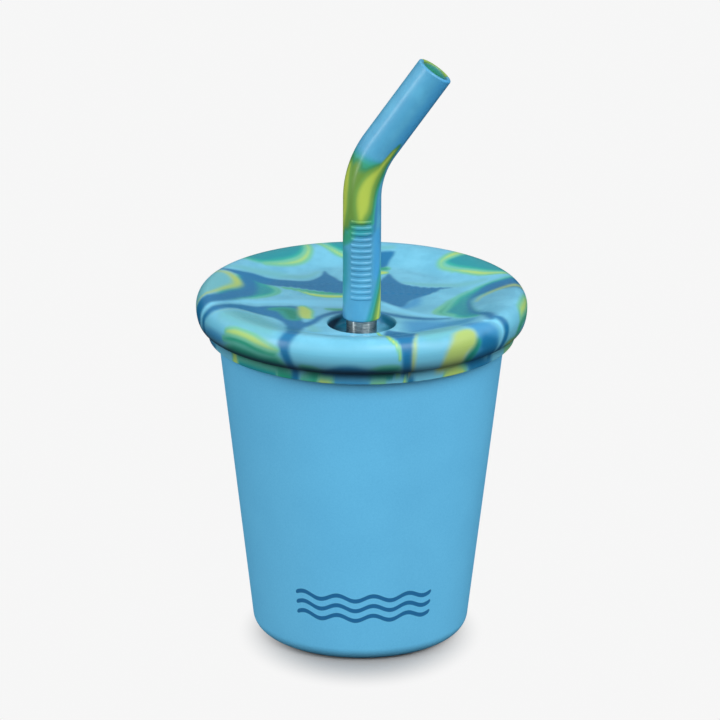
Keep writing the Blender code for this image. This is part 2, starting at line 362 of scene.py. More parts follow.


# Lid dye, in mm on the lid flattened out round its axis: u to the right, v to the back. Within the crest
# that is the plan view; beyond it the distance from the centre goes on down the flange and the skirt.
# Points of three numbers are a brush stroke with its half width, points of two are the outline of a patch.
# A few strokes below are painted light or painted shade, and are marked so
LID_STROKES = [
    # Grey-green haze where a thin blue lies over lime
    ("haze", 3.6, [(-38, -21), (-33, -16.6), (-27, -14), (-23.6, -20), (-21.6, -27), (-22, -34), (-26, -36),
        (-33, -28)]),
    ("haze", 3, [(14, -29), (21, -27), (26, -30), (24, -35), (18, -39), (14, -36)]),
    ("haze", 2.4, [(-36, 19, 0.8), (-25, 20, 1.6), (-16, 19.5, 1.6), (-12, 24, 0.6)]),
    ("haze", 2.4, [(12, 14.5, 0.6), (18, 13.4, 1.4), (25, 12.6, 1.6), (33, 12.4, 0.8)]),
    ("haze", 1.9, [(-39, 15), (-34.6, 13), (-33.4, 9), (-34.4, 5), (-37, 1), (-40, -3), (-46, -3), (-44, 5),
        (-41, 11)]),
    ("haze", 1.9, [(-14, -20.6, 1.2), (-12, -25, 1.4)]),
    ("haze", 1.6, [(44, 4.4, 0.6), (40, 3.2, 1), (36, 3.4, 1.2), (32.4, 2.2, 1), (30.4, -1, 0.6)]),
    # Mid blue pools
    ("mid", 3.3, [(12, -17), (22, -17), (28, -19), (29, -24), (26, -28), (20, -25), (14, -27), (11, -22)]),
    ("mid", 1.8, [(26, -29), (29, -27), (35, -25.6), (39, -27.4), (41.5, -31), (40, -37), (34, -42.6),
        (32, -40), (33, -35.6), (30.6, -32)]),
    ("mid", 2.2, [(15, 3, 1), (14, -2, 1.6), (11, -6, 1.6)]),
    ("mid", 1.8, [(-10, -55, 1.6), (-3, -56, 2), (2.4, -55.6, 1.6)]),
    ("mid", 2.2, [(-46, -18, 1.5), (-43, -23, 1.5), (-39, -28, 0.6)]),
    # Tongues from the back and the right edge
    ("teal", 2.5, [(-36, 30), (-32, 26.6), (-27, 25.2), (-22.6, 26.8), (-18.6, 29.6), (-16.4, 33),
        (-16.2, 38), (-20, 44), (-30, 42)]),
    ("teal", 1.8, [(-10, 43), (-8.6, 38), (-5.6, 35.2), (-1, 34.4), (3, 35.6), (3, 46), (-6, 47)]),
    ("teal", 2.1, [(22.8, 27.2), (25, 29), (28, 30.2), (34, 32), (41, 24), (43, 17), (38.6, 15.6),
        (35, 16.8), (31, 19.4), (27, 22), (24.4, 24.2)]),
    ("lime", 1.9, [(-26, 24.8, 0.2), (-20.6, 26.4, 0.6), (-16.4, 29.4, 0.9), (-14.8, 33.4, 0.8),
        (-15, 38, 0.5)]),
    ("lime", 1.4, [(-12, 39.8, 0.3), (-9, 36.4, 0.5), (-5.4, 33.4, 0.6), (-1, 32.4, 0.5), (3, 33.4, 0.2)]),
    ("lime", 2, [(29, 33, 1), (25.4, 30.6, 1.2), (22, 28.2, 0.5), (21.8, 25, 0.3), (24.6, 22, 0.5)]),
    ("lime", 1.4, [(24.6, 22, 0.4), (29, 19, 0.8), (33.6, 16.2, 0.9), (38.6, 14.4, 0.5)]),
    # Hooked band on the right
    ("teal", 2.8, [(42, 11.5), (37, 9.6), (32, 9), (28.8, 6.8), (26.4, 3.4), (24.8, -1.6), (22.2, -6.4),
        (20.8, -9.6), (23.8, -11.8), (26, -14), (30, -18), (30, -12), (28, -6), (29, 1), (33, 4), (40, 5)]),
    ("green", 2.2, [(28, 7.4, -0.6), (25.2, 2.2, -0.2), (22.8, -3.2, 0.3), (20.8, -8.2, 0.9),
        (21.4, -10.6, 0.6), (24, -12.2, 0.1)]),
    ("blue", 2, [(44, 12), (38, 9.4), (33, 8.6), (30.6, 6), (28.6, 2), (27.6, -3), (27.6, -8), (29, -13),
        (31, -18), (33, -23.6), (35, -22), (34.4, -19), (32, -14), (29.8, -9), (29, -4.4), (29.8, 0),
        (32, 3), (36, 3.2), (40, 2), (44, 4)]),
    ("blue", 1.2, [(34.4, -21.4, 0.8), (38, -22.2, 1.2), (41, -24.2, 1.2), (42.6, -27.6, 1.2),
        (43.6, -32, 0.8)]),
    ("lime", 2.2, [(24.8, 3.4, -1.2), (22.6, -1.2, -0.9), (20.4, -5.8, -0.2), (19.2, -9.8, -0.1),
        (21.8, -12.2, -1)]),
    ("gold", 2.2, [(45, 6.4, 0.9), (42.4, 4.6, 0.8), (39, 3.6, 0.6), (35, 3, 0.3), (32, 1.2, 0),
        (30.6, -1.6, -0.4)]),
    # Edge of the right side
    ("green", 2, [(47.4, 1, 0.6), (46, -5, 1.4), (45.4, -12, 1.4), (46.4, -17, 1)]),
    ("lime", 2.2, [(45.4, 0, 0.5), (44.2, -5, 1.3), (43.4, -10.6, 1.4), (44, -14, 0.4)]),
    ("lime", 1.4, [(47.5, -19, 0.8), (45.6, -23, 1), (44.8, -25, 0.5)]),
    ("lime", 1.4, [(54.6, -11, 1.3), (53, -16, 1.5), (51.4, -20.6, 1.2)]),
    # The star behind the straw
    ("blue", 1, [(-40.5, 18.6), (-36.6, 17), (-33, 17), (-29, 18), (-25, 17.4), (-20, 16.4), (-16, 16),
        (-13.4, 17), (-11.6, 20), (-10.2, 24.8), (-9.2, 22), (-7.4, 19), (-5, 15.6), (0, 13.6), (4.6, 16),
        (5.6, 19), (6.9, 22.4), (8.3, 19.2), (9.6, 16.4), (11.6, 13.2), (14.4, 11.6), (18, 11), (24, 10.9),
        (21, 9.4), (19.4, 7.4), (17.6, 5), (15.2, 2.4), (13, -0.8), (11.8, -3.6), (10.3, -5.8), (8.4, -4.4),
        (6.6, -1.8), (4.4, 1), (0, 4), (-5, 5.2), (-9, 6.4), (-13, 8.4), (-18, 10.2), (-22, 11.2),
        (-25.4, 12.8), (-29.6, 14.2), (-33.4, 14.6), (-37, 15.8)]),
    ("green", 1.2, [(-21, 9.8, 0.3), (-15, 7.6, 0.7), (-10, 5.8, 0.9), (-5, 4.8, 0.8), (0, 4.4, 0.5)]),
    ("lime", 0.8, [(-17.4, 7.8, 0.1), (-14, 5.4, 0.6), (-11, 4, 0.9), (-8, 3.1, 1), (-4, 2.8, 0.8),
        (0, 3, 0.5)]),
    ("haze", 1.4, [(3.6, 37.4, 1), (8, 37, 1)]),
    ("blue", 1, [(2.8, 35), (8.4, 35), (7.6, 31), (6.8, 28.4), (4.4, 28), (2.8, 31)]),
    ("green", 1.1, [(3.6, 27.2, 1.9), (6.2, 26.8, 1.5)]),
    ("lime", 0.9, [(3.8, 23.8, 1.7), (5.4, 23.6, 1.3), (6.6, 24, 0.4)]),
    # Lobe and bands on the left
    ("teal", 2.5, [(-32, 15.6), (-27.4, 14.2), (-24.4, 11.4), (-23.2, 8), (-24, 5.2), (-27, 3.2),
        (-30.6, 0.8), (-34, -3), (-38, -7), (-37, 0), (-34, 8)]),
    ("green", 1.8, [(-24.4, 11.4, -0.4), (-22.7, 8.6, 0.2), (-22.7, 5.6, 0.3), (-25, 3, 0.1),
        (-29, 1, -0.4)]),
    ("blue", 1.8, [(-32.4, 15.4), (-28.6, 14.6), (-28, 9), (-28.8, 3.4), (-31.6, -0.8), (-34, -4.6),
        (-37, -9.6), (-41, -11.4), (-49, -11.6), (-49, -5.6), (-44, -5.4), (-40, -4.6), (-36.6, -1),
        (-33.6, 4), (-32, 8.4), (-32, 12)]),
    ("gold", 2, [(-39.4, 15.2, 0.1), (-35.6, 13.8, 0.8), (-33.6, 11, 1.2), (-33.8, 8, 1),
        (-35.4, 4.6, 0.7)]),
    ("gold", 1.6, [(-35.4, 4.6, 0.7), (-37.4, 0.6, 0.5), (-40, -2.8, 0.5), (-43, -4.2, 0.4),
        (-48, -4, 0.4)]),
    ("blue", 1.4, [(-49, -15.6), (-44.6, -13.8), (-40.4, -14.2), (-37, -13.2), (-34.2, -9.6), (-31.4, -6.2),
        (-27, -5.2), (-21, -5.2), (-16.8, -5.6), (-16.2, -9), (-16.2, -14), (-15, -19.6), (-15.2, -24),
        (-16, -30), (-16.2, -36), (-17.6, -39), (-19.4, -42), (-20.2, -46), (-21.6, -50), (-23.6, -54),
        (-27, -54), (-24.8, -49.4), (-23, -46), (-22.4, -42), (-22.2, -39), (-20.4, -36.4), (-19.6, -31),
        (-19.7, -25), (-20.6, -20), (-22.4, -16), (-25, -13.4), (-28.4, -11.8), (-31.8, -12.4),
        (-34.6, -15.2), (-37.4, -17.4), (-41, -16.8), (-44, -16), (-49, -18)]),
    ("blue", 1.4, [(-16, -21, 1.8), (-12.8, -17.6, 1.1), (-10.4, -13.6, 1), (-7.4, -10.8, 1.2),
        (-3, -9.4, 1)]),
    ("line", 1.4, [(-49, -12.8, 0.7), (-43, -12.6, 0.7), (-39.4, -12.2, 0.7), (-36.4, -8.8, 0.8),
        (-33, -4.2, 0.9)]),
    ("line", 2.2, [(-33, -4.2, 0.9), (-29, -1.8, 1), (-22, -1.6, 1.2), (-14, -2, 2.6), (-6, -3.4, 2.6)]),
    ("teal", 2, [(-29, -8.4), (-24, -6.6), (-19, -6.4), (-17, -8), (-17, -13), (-17.4, -18), (-20, -17),
        (-22.6, -14), (-26, -11.6)]),
    ("gold", 1.1, [(-42, -17.6, -0.5), (-37, -18.2, -0.2), (-33.6, -15.2, -0.1), (-30, -12.6, -0.1),
        (-26, -13.4, -0.3), (-22.4, -17.6, -0.5)]),
    ("moss", 2.3, [(-24, -7.6, 0.3), (-20.6, -8.4, 1.5), (-18.4, -11, 2.2), (-17.8, -15, 1.4)]),
    ("green", 1.8, [(-18.4, -7, 0.6), (-17.6, -10.4, 1.4), (-17, -14.6, 0.8)]),
    ("lime", 1.6, [(-15.8, -5.6, 0.6), (-14.4, -9.4, 1.3), (-13.8, -14, 0.9)]),
    ("gold", 1.7, [(-16.2, -6.4, 0.8), (-15.2, -9.8, 1.5), (-14.6, -13.6, 1.1)]),
    ("green", 1.4, [(-9.6, -7.2, 0.2), (-6.6, -8.2, 0.7), (-3, -8.6, 0.7)]),
    # Left front of the flange
    ("green", 2.2, [(-43, -29), (-38, -30.6), (-34, -34.6), (-28.6, -39.4), (-24, -42.2), (-24.4, -46.6),
        (-31, -43.4), (-38, -37.6), (-44, -32)]),
    ("green", 1.5, [(-39, -27.6, 0.5), (-35.4, -31, 1), (-30, -36.6, 1.1), (-24.6, -41, 0.8)]),
    ("lime", 1.6, [(-36.4, -27.4, 0.6), (-33.4, -30, 1.1), (-29.4, -34.4, 1.1), (-25.8, -38.2, 0.7),
        (-23, -40.6, 0.2)]),
    # Front of the flange
    # Painted light: a lighter band on the front slope of the dish, where it faces away from the light
    ("line", 1.8, [(-15, -27.4, 0.8), (-10, -28.6, 2), (-3, -29.4, 2.6), (4, -29, 2)]),
    # Partly dye and partly painted shade: the blue band under the front of the flange
    ("blue", 1.8, [(-12, -51.4, 1.6), (-7, -51.4, 2.2), (-2, -51.6, 2.2), (3, -52, 1.6)]),
    ("green", 1.6, [(-18, -48, 1), (-15.6, -49.6, 1.8), (-13, -51, 1.4), (-11, -52, 0.7)]),
    ("green", 1.7, [(2.6, -51.4, 0.8), (5, -50.8, 1.5), (8, -50.4, 1.6), (10.4, -49.6, 1)]),
    ("moss", 1.4, [(3.4, -53.4, 0.8), (7, -53, 1.2), (10, -52, 0.7)]),
    ("lime", 1.4, [(-15, -54.4, 0.5), (-12.6, -54.8, 0.7), (-10.4, -55.2, 0.4)]),
    ("blue", 1.1, [(6.6, -25), (9, -25.6), (12.4, -28), (13.6, -33), (13.8, -38), (14, -42), (14.6, -46),
        (15.8, -49.4), (17.6, -51.6), (20, -54), (18, -55.4), (15.2, -52.6), (12.6, -50.4), (11.4, -47.6),
        (10.6, -44), (9.4, -41.2), (7.4, -38.6), (6.4, -35), (6.2, -30)]),
    ("lime", 0.6, [(4.5, -26.2, 0.2), (5.2, -29.4, 0.4), (5.9, -33.4, 0.4), (6.6, -37.6, 0.4), (8, -41, 0.5),
        (9.8, -43.4, 0.4), (10.6, -46.6, 0.3)]),
    ("lime", 0.6, [(12, -51.4, 0.3), (15, -53.2, 0.5), (16.6, -55, 0.5)]),
    ("gold", 1.2, [(14.1, -35, -0.3), (14.3, -40, 0.3), (14.8, -46, 0.5), (16, -50, 0.3)]),
    ("moss", 1.8, [(31.8, -33.6, 0.8), (32.4, -37.4, 1.2), (33, -41.6, 1.4), (32.4, -45, 1)]),
    ("gold", 1.9, [(24, -35), (26.6, -32.2), (29.8, -31.8), (31, -34.6), (30.6, -38), (31.8, -41.4),
        (30.6, -44.6), (27, -47.6), (24.8, -47.6), (24.2, -43), (24, -38)]),
    ("blue", 1.9, [(34.6, -31.6, 2.2), (38.4, -31, 2.8), (37, -36.6, 3), (34.8, -40.6, 2.2)]),
    # Painted highlight: a light line along the crest at the right front
    ("line", 0.6, [(32, -25, 0.4), (35, -23.8, 0.6), (38, -24.4, 0.5), (40.4, -26.6, 0.5),
        (41.4, -30.6, 0.3)]),
    ("line", 1.8, [(6, -3.4, 0.8), (10, -8.6, 1.2), (16, -11.8, 1.2), (22, -13, 0.5)]),
    ("blue", 1.5, [(4.6, -9.6, 0.9), (8.4, -12.2, 1), (12, -14.2, 1.2), (17, -15, 1), (23, -14.8, 0.5)]),
    # Skirt
    ("blue", 1.2, [(-56, -9, 1.5), (-54.6, -15, 1.6), (-53, -19, 0.6)]),
    ("lime", 1.2, [(-42.8, -30.6, 1), (-46.8, -33.4, 1.7)]),
    ("teal", 1.2, [(-44, -35.4, 2.2), (-36.6, -42.4, 2.6), (-28.6, -48.4, 2.4)]),
    ("green", 1.1, [(-30, -47.6, 0.8), (-26, -50.4, 1.4)]),
    ("green", 1.2, [(-20.4, -51.8, 1.4), (-15.6, -53.4, 1.6)]),
    ("lime", 0.7, [(-14.4, -52.8, 0.8), (-13.8, -55, 0.8)]),
    ("lime", 1.3, [(4.4, -54.8, 1.3), (8, -54.8, 1.4)]),
    ("lime", 1.2, [(30.4, -46.6, 2), (33.6, -44, 3), (36.6, -41.4, 1.6)]),
    ("blue", 1.4, [(39.6, -39.4, 1.8), (43, -35.4, 1.8), (47, -30.6, 0.4)]),
]


def back_strokes():
    """Streaks of the same kind down the flange and skirt round the back, one every 9 degrees."""
    strokes = []
    softness = 1.1
    dyes = ("blue", "lime", "teal", "green", "blue", "mid", "lime", "teal")
    for i, degrees in enumerate(range(24, 160, 9)):
        lean = 5 * math.sin(2.3 * i)
        width = 1.5 + 1.1 * math.sin(1.7 * i + 1)
        points = []
        for reach in (43, 47, 52, 57):
            a = math.radians(degrees + lean * (reach - 50) / 7)
            points.append((reach * math.cos(a), reach * math.sin(a), width * (0.5 + (reach - 43) / 14)))
        strokes.append((dyes[i % len(dyes)], softness, points))
    return strokes


# Tip dye, in mm: round the tube from its front, to the right, and up its centreline from the lower end.
TIP_STROKES = [
    ("deep", 2.4, [(3.6, 47, 1), (4.6, 54, 2.4), (4.6, 72, 2.6)]),
    ("deep", 1.6, [(4.8, 13, 1.6), (4.8, 24, 1.4)]),
    ("teal", 2.6, [(-6.2, 18, 2), (-6.4, 12, 2.2), (-7, 6, 1.8)]),
    ("mid", 1.8, [(-7.2, 2.4, 1.6), (-6.6, 0.2, 1.6)]),
    ("mid", 1.4, [(-1.6, 24.3, 0.9), (0.4, 24.2, 1), (2.6, 24.4, 0.7)]),
    ("mid", 1, [(3.4, 25, 0.6), (3.7, 29, 0.9), (3.9, 33, 0.8), (4.4, 36.5, 0.5)]),
    ("teal", 1.8, [(-8, 43.9, 1), (-4, 43.7, 1.1), (0, 43.8, 1.1), (2.4, 44.6, 0.8)]),
    ("green", 1.3, [(-7.4, 21, 1), (-5.6, 22.6, 1.7), (-3.6, 23.6, 1.2), (-3.2, 26, 1.2)]),
    ("green", 1.3, [(-7.8, 42.8, 0.7), (-4, 42.8, 0.9), (-1, 42.9, 0.9), (2, 43.8, 0.7)]),
    ("green", 1, [(2.6, 27.4, 0.6), (2.8, 30, 0.6), (3.5, 34, 0.6), (4.2, 38, 0.6), (5, 41.6, 0.7)]),
    ("teal", 1.6, [(-3.4, 24.2, 0.8), (-0.4, 25, 1.2), (2.2, 25.4, 1)]),
    ("olive", 2.2, [(-7.6, 23.6), (-5.4, 26.2), (-2.6, 27.2), (1.6, 28), (2.5, 33), (3.6, 38), (4.4, 43.4),
        (2.2, 43), (-1.4, 41.4), (-4.6, 41.8), (-8, 41)]),
    ("olive", 1.5, [(-5.2, 27, 1.8), (-4.6, 32, 2.2), (-4.4, 38, 2.2), (-3.6, 41.4, 1.4)]),
    ("olive", 1.4, [(-1.6, 30, 1.3), (-1.4, 36, 1.5), (0.4, 40.6, 1.5), (2.6, 43.2, 1.2)]),
    ("olive", 1.1, [(2, 30, 0.7), (2.5, 35, 0.9), (3.4, 40, 0.9), (4, 46, 0.7), (4.1, 51.5, 0.2)]),
    ("lime", 1.4, [(-7.2, 23.6, 0.3), (-6.6, 27, 1), (-6.2, 31, 1.7), (-6, 36, 1.7), (-6.4, 40.6, 0.9)]),
    ("lime", 1.6, [(-0.4, 28.8, 1), (0.2, 32, 1.9), (0.6, 36, 1.9), (1.6, 40, 1.4), (2.8, 43, 0.8)]),
    ("lime", 0.9, [(2.8, 43, 0.6), (3.5, 46.5, 0.6), (3.7, 50, 0.3)]),
    ("teal", 1, [(1.4, -1, 0.7), (3, 3.4, 0.9), (4.6, 8, 1), (6, 11.4, 1.2), (7.4, 15.5, 1)]),
    ("green", 0.8, [(3, -1, 1.1), (4, 3, 0.9), (5.6, 7.2, 1), (6.8, 10.4, 1), (7.8, 14, 0.7)]),
    ("olive", 0.9, [(3.7, -1, 0.9), (4.7, 3.2, 0.8), (6.2, 7.4, 0.7), (7.2, 11, 0.3)]),
    ("lime", 1.1, [(4.6, -1, 0.8), (5.5, 2.6, 0.8), (6.7, 6.2, 0.7), (7.4, 9, 0.2)]),
    ("lime", 2.4, [(9, 2, 1.8), (10.5, 8, 2), (10, 14, 1)]),
    ("green", 2, [(12, 18, 2), (14, 26, 2.4), (12, 34, 2)]),
    ("lime", 2.2, [(13.5, 22, 1), (14.6, 30, 1.4)]),
    # The far side of the rim, and the bore below it
    ("lime", 1, [(10.5, 72.6, 0.5), (14, 72.2, 0.5), (18, 72.4, 0.5), (21, 72.8, 0.3)]),
    ("green", 1, [(-15.7, 75.2, 1.6), (-8, 75.5, 1.4), (0, 75.5, 1.4), (8, 75.5, 1.4), (15.7, 75.2, 1.6)]),
    ("moss", 1.6, [(9, 78, 0.8), (4, 82, 2), (-4, 84, 2)]),
    ("green", 2, [(-15.7, 82, 7), (0, 82, 7), (15.7, 82, 7)]),
]


# ---- materials


class Graph:
    """Short ways to add the shader nodes this script uses, to a material or to the world."""

    def __init__(self, owner, shader="Principled BSDF"):
        owner.use_nodes = True
        self.owner = owner
        self.tree = owner.node_tree
        self.shader = self.tree.nodes[shader]

    def feed(self, socket, value):
        if isinstance(value, bpy.types.NodeSocket):
            self.tree.links.new(value, socket)
        else:
            socket.default_value = value

    def set(self, name, value):
        self.feed(self.shader.inputs[name], value)

    def node(self, kind, inputs, **settings):
        """The outputs of a new node. inputs maps its sockets to constants or to other nodes' outputs."""
        node = self.tree.nodes.new("ShaderNode" + kind)
        for name, setting in settings.items():
            setattr(node, name, setting)
        for socket, value in inputs.items():
            self.feed(node.inputs[socket], value)
        return node.outputs

    def math(self, operation, a, b=0.0):
        return self.node("Math", {0: a, 1: b}, operation=operation)[0]

    def vector_math(self, operation, vector, constant):
        outputs = self.node("VectorMath", {0: vector, 1: constant}, operation=operation)
        return outputs["Value" if operation == "DOT_PRODUCT" else "Vector"]

    def attribute(self, name, output="Fac"):
        return self.node("Attribute", {}, attribute_name=name)[output]

    def place(self, attribute=None):
        """Object coordinates, or a vector stored on the mesh."""
        if attribute:
            return self.attribute(attribute, "Vector")
        return self.node("TexCoord", {})["Object"]

    def split(self, vector):
        return self.node("SeparateXYZ", {0: vector})

    def noise(self, vector, size, detail=2.0, roughness=0.5):
        """Noise whose blobs are about size metres across, 0 to 1."""
        inputs = {"Vector": vector, "Scale": 1 / size, "Detail": detail, "Roughness": roughness}
        return self.node("TexNoise", inputs)["Fac"]

    def remap(self, value, low, high, to_low=0.0, to_high=1.0, smooth=False):
        inputs = {"Value": value, "From Min": low, "From Max": high, "To Min": to_low, "To Max": to_high}
        curve = "SMOOTHSTEP" if smooth else "LINEAR"
        return self.node("MapRange", inputs, interpolation_type=curve)["Result"]

    def mix(self, factor, a, b):
        return self.node("Mix", {0: factor, 6: a, 7: b}, data_type="RGBA")[2]

    def bump(self, height, depth, strength, **under):
        """A normal from height (0 to 1) that stands depth metres tall, over one passed as Normal."""
        inputs = {"Strength": strength, "Distance": depth, "Height": height, **under}
        return self.node("Bump", inputs)["Normal"]


PAINTED_SHADE_COLOUR = (0.0, 0.018, 0.045, 1)  # the colour that the painted shade under the flange and in the well darkens the lid towards, linear
CREASE_DEPTH = 0.95  # how far the painted shade darkens the colour at its darkest
CREASE_ROUGHNESS = 0.5  # added there, so that it holds no highlight
WELL_SHADE_TINT = (0.007, 0.262, 0.429, 1)  # painted shade: the darker teal the lid is tinted inside the well, linear
SILICONE_ROUGHNESS = (0.28, 0.36)
COAT_ROUGHNESS = (0.62, 0.52)  # in the pebbles' hollows and on their tops
INK_ROUGHNESS = (0.42, 0.42, 0.42, 1)
SOFT_SPECULAR = 0.35  # of the coat and the silicone

PRINT_HALF_WIDTH = 19 * MM
PRINT_SHIFT = 1 * MM
PRINT_CENTRE_Z = 16.0 * MM
PRINT_WAVE = 9.5 * MM
PRINT_RISE = 0.75 * MM
PRINT_PITCH = 2.9 * MM
PRINT_LINE = 0.62 * MM  # half the line's width
PRINT_EDGE = 0.05 * MM
PRINT_ROWS = 3


def wave_print(g, place):
    """Mask of the small printed motif on the cup's front: three wavy lines with rounded ends."""
    x, y, z = g.split(place)
    rows_reach = PRINT_PITCH * PRINT_ROWS / 2
    angle = g.math("ARCTAN2", x, g.math("MULTIPLY", y, -1.0))
    along = g.math("SUBTRACT", g.math("MULTIPLY", angle, wall_r(PRINT_CENTRE_Z)), PRINT_SHIFT)
    wave = g.math("MULTIPLY", g.math("SINE", g.math("MULTIPLY", along, 2 * math.pi / PRINT_WAVE)), PRINT_RISE)
    height = g.math("SUBTRACT", g.math("SUBTRACT", z, PRINT_CENTRE_Z), wave)
    row = g.math("PINGPONG", g.math("ADD", height, rows_reach), PRINT_PITCH / 2)
    from_line = g.math("SUBTRACT", PRINT_PITCH / 2, row)
    past_end = g.math("SUBTRACT", g.math("ABSOLUTE", along), PRINT_HALF_WIDTH - PRINT_LINE)
    ends = g.math("MAXIMUM", past_end, 0.0)
    distance = g.math("SQRT", g.math("ADD", g.math("POWER", from_line, 2.0), g.math("POWER", ends, 2.0)))
    inked = g.remap(distance, PRINT_LINE - PRINT_EDGE, PRINT_LINE + PRINT_EDGE, 1.0, 0.0, smooth=True)
    rows = g.math("LESS_THAN", g.math("ABSOLUTE", height), rows_reach)
    return g.math("MULTIPLY", inked, rows)


def coat_material():
    """Matte powder coat: a fine pebbled skin with slow tone changes, and the printed motif."""
    g = Graph(bpy.data.materials.new("powder_coat"))
    place = g.place()
    pebble = g.noise(place, 0.45 * MM, detail=3.0, roughness=0.6)
    orange_peel = g.noise(place, 1.6 * MM, detail=1.0)
    cloud = g.noise(place, 14 * MM)
    tone = g.mix(g.remap(cloud, 0.35, 0.65), *map(linear, COAT_TONES))
    fleck = g.mix(g.remap(pebble, 0.3, 0.7), *map(linear, COAT_FLECKS))
    fleck_share = 0.35
    colour = g.mix(fleck_share, tone, fleck)
    ink = wave_print(g, place)
    g.set("Base Color", g.mix(ink, colour, linear(PRINT_INK)))
    g.set("Roughness", g.mix(ink, g.remap(pebble, 0.3, 0.7, *COAT_ROUGHNESS), INK_ROUGHNESS))
    g.set("Specular IOR Level", SOFT_SPECULAR)
    soft = g.bump(orange_peel, 0.03 * MM, 0.6)
    g.set("Normal", g.bump(pebble, 0.02 * MM, 0.8, Normal=soft))
    return g.owner


def steel_material(name, colours, brushed_along, roughness, turned=False):
    """Brushed stainless steel. brushed_along scales the noise: small along the strokes.

    turned is for brushing that runs round Z, which draws the reflections out up and down."""
    g = Graph(bpy.data.materials.new(name))
    stretched = g.vector_math("MULTIPLY", g.place(), brushed_along)
    strokes = g.noise(stretched, 0.12 * MM, detail=3.0, roughness=0.65)
    smears = g.noise(g.place(), 6 * MM)
    g.set("Base Color", g.mix(g.remap(strokes, 0.3, 0.7), *map(linear, colours)))
    g.set("Metallic", 1.0)
    g.set("Roughness", g.math("ADD", g.remap(strokes, 0.3, 0.7, roughness - 0.05, roughness + 0.06),
                              g.remap(smears, 0.3, 0.7, -0.03, 0.03)))
    g.set("Normal", g.bump(strokes, 0.004 * MM, 0.5))
    if turned:
        g.set("Tangent", g.node("Tangent", {}, direction_type="RADIAL", axis="Z")[0])
        g.set("Anisotropic", 0.9)
        g.set("Anisotropic Rotation", 0.25)
    return g.owner


def silicone_material(name, bases, dyes, place_attribute=None, roll_base=None):
    """Satin silicone whose dyes were stirred together in the mould.

    roll_base is the lid's, the colour of its flange, partly a painted highlight. With it come the
    painted shade under the flange and in the well, and the well's darker teal tint, also painted shade."""
    g = Graph(bpy.data.materials.new(name))
    place = g.place(place_attribute)
    flow = g.noise(place, 6 * MM, detail=3.0, roughness=0.55)
    grain = g.noise(place, 0.25 * MM)
    dust = g.noise(place, 0.9 * MM, detail=3.0)
    colour = g.mix(g.remap(flow, 0.38, 0.62), *map(linear, bases))
    if roll_base:
        # The flange's base colour, partly a painted highlight
        colour = g.mix(g.attribute("roll"), colour, linear(roll_base))
    wander = g.remap(flow, 0.3, 0.7, -0.05, 0.05)
    for dye, steps in dyes.items():
        cover = g.attribute("dye_" + dye)
        inside = g.remap(cover, 0.0, 0.12)
        moved = g.math("ADD", cover, g.math("MULTIPLY", wander, inside))
        for low, high, shade in steps:
            colour = g.mix(g.remap(moved, low, high, smooth=True), colour, linear(shade))
    if roll_base:
        # Painted shade: the well is tinted a darker teal, then the lid is darkened under the flange and on
        # the well's flanks
        colour = g.mix(g.attribute("well"), colour, WELL_SHADE_TINT)
        dim = g.math("SUBTRACT", 1.0, g.math("MULTIPLY", g.attribute("painted_shade"), CREASE_DEPTH))
        colour = g.mix(dim, PAINTED_SHADE_COLOUR, colour)
    g.set("Base Color", colour)
    rough = g.remap(dust, 0.3, 0.7, *SILICONE_ROUGHNESS)
    if roll_base:
        rough = g.math("ADD", rough, g.math("MULTIPLY", g.attribute("painted_shade"), CREASE_ROUGHNESS))
    g.set("Roughness", rough)
    g.set("Specular IOR Level", SOFT_SPECULAR)
    g.set("Subsurface Weight", 0.08)
    g.set("Subsurface Radius", (0.6, 0.9, 1.0))
    g.set("Subsurface Scale", 0.6 * MM)
    g.set("Normal", g.bump(grain, 0.006 * MM, 0.6))
    return g.owner


def floor_material():
    """White paper glowing all round the cup, grey by its foot, so that only a short soft shadow, partly
    painted, stays there.
    """
    g = Graph(bpy.data.materials.new("studio_floor"))
    x, y, _ = g.split(g.place())
    across = g.math("MULTIPLY", x, GLOW_SQUEEZE)
    behind = g.math("SUBTRACT", y, GLOW_CENTRE_Y)
    squares = [g.math("MULTIPLY", way, way) for way in (across, behind)]
    reach = g.math("SQRT", g.math("ADD", *squares))
    glow = g.remap(reach, GLOW_FROM, GLOW_TO, smooth=True)
    g.set("Base Color", g.mix(glow, FLOOR_DARK, (0, 0, 0, 1)))
    g.set("Emission Color", (1, 1, 1, 1))
    g.set("Emission Strength", g.math("MULTIPLY", glow, FLOOR_GLOW))
    g.set("Roughness", 0.9)
    g.set("Specular IOR Level", 0.0)
    return g.owner


# ---- cup


def wall_r(z):
    return CUP_BASE_R + CUP_TAPER * z


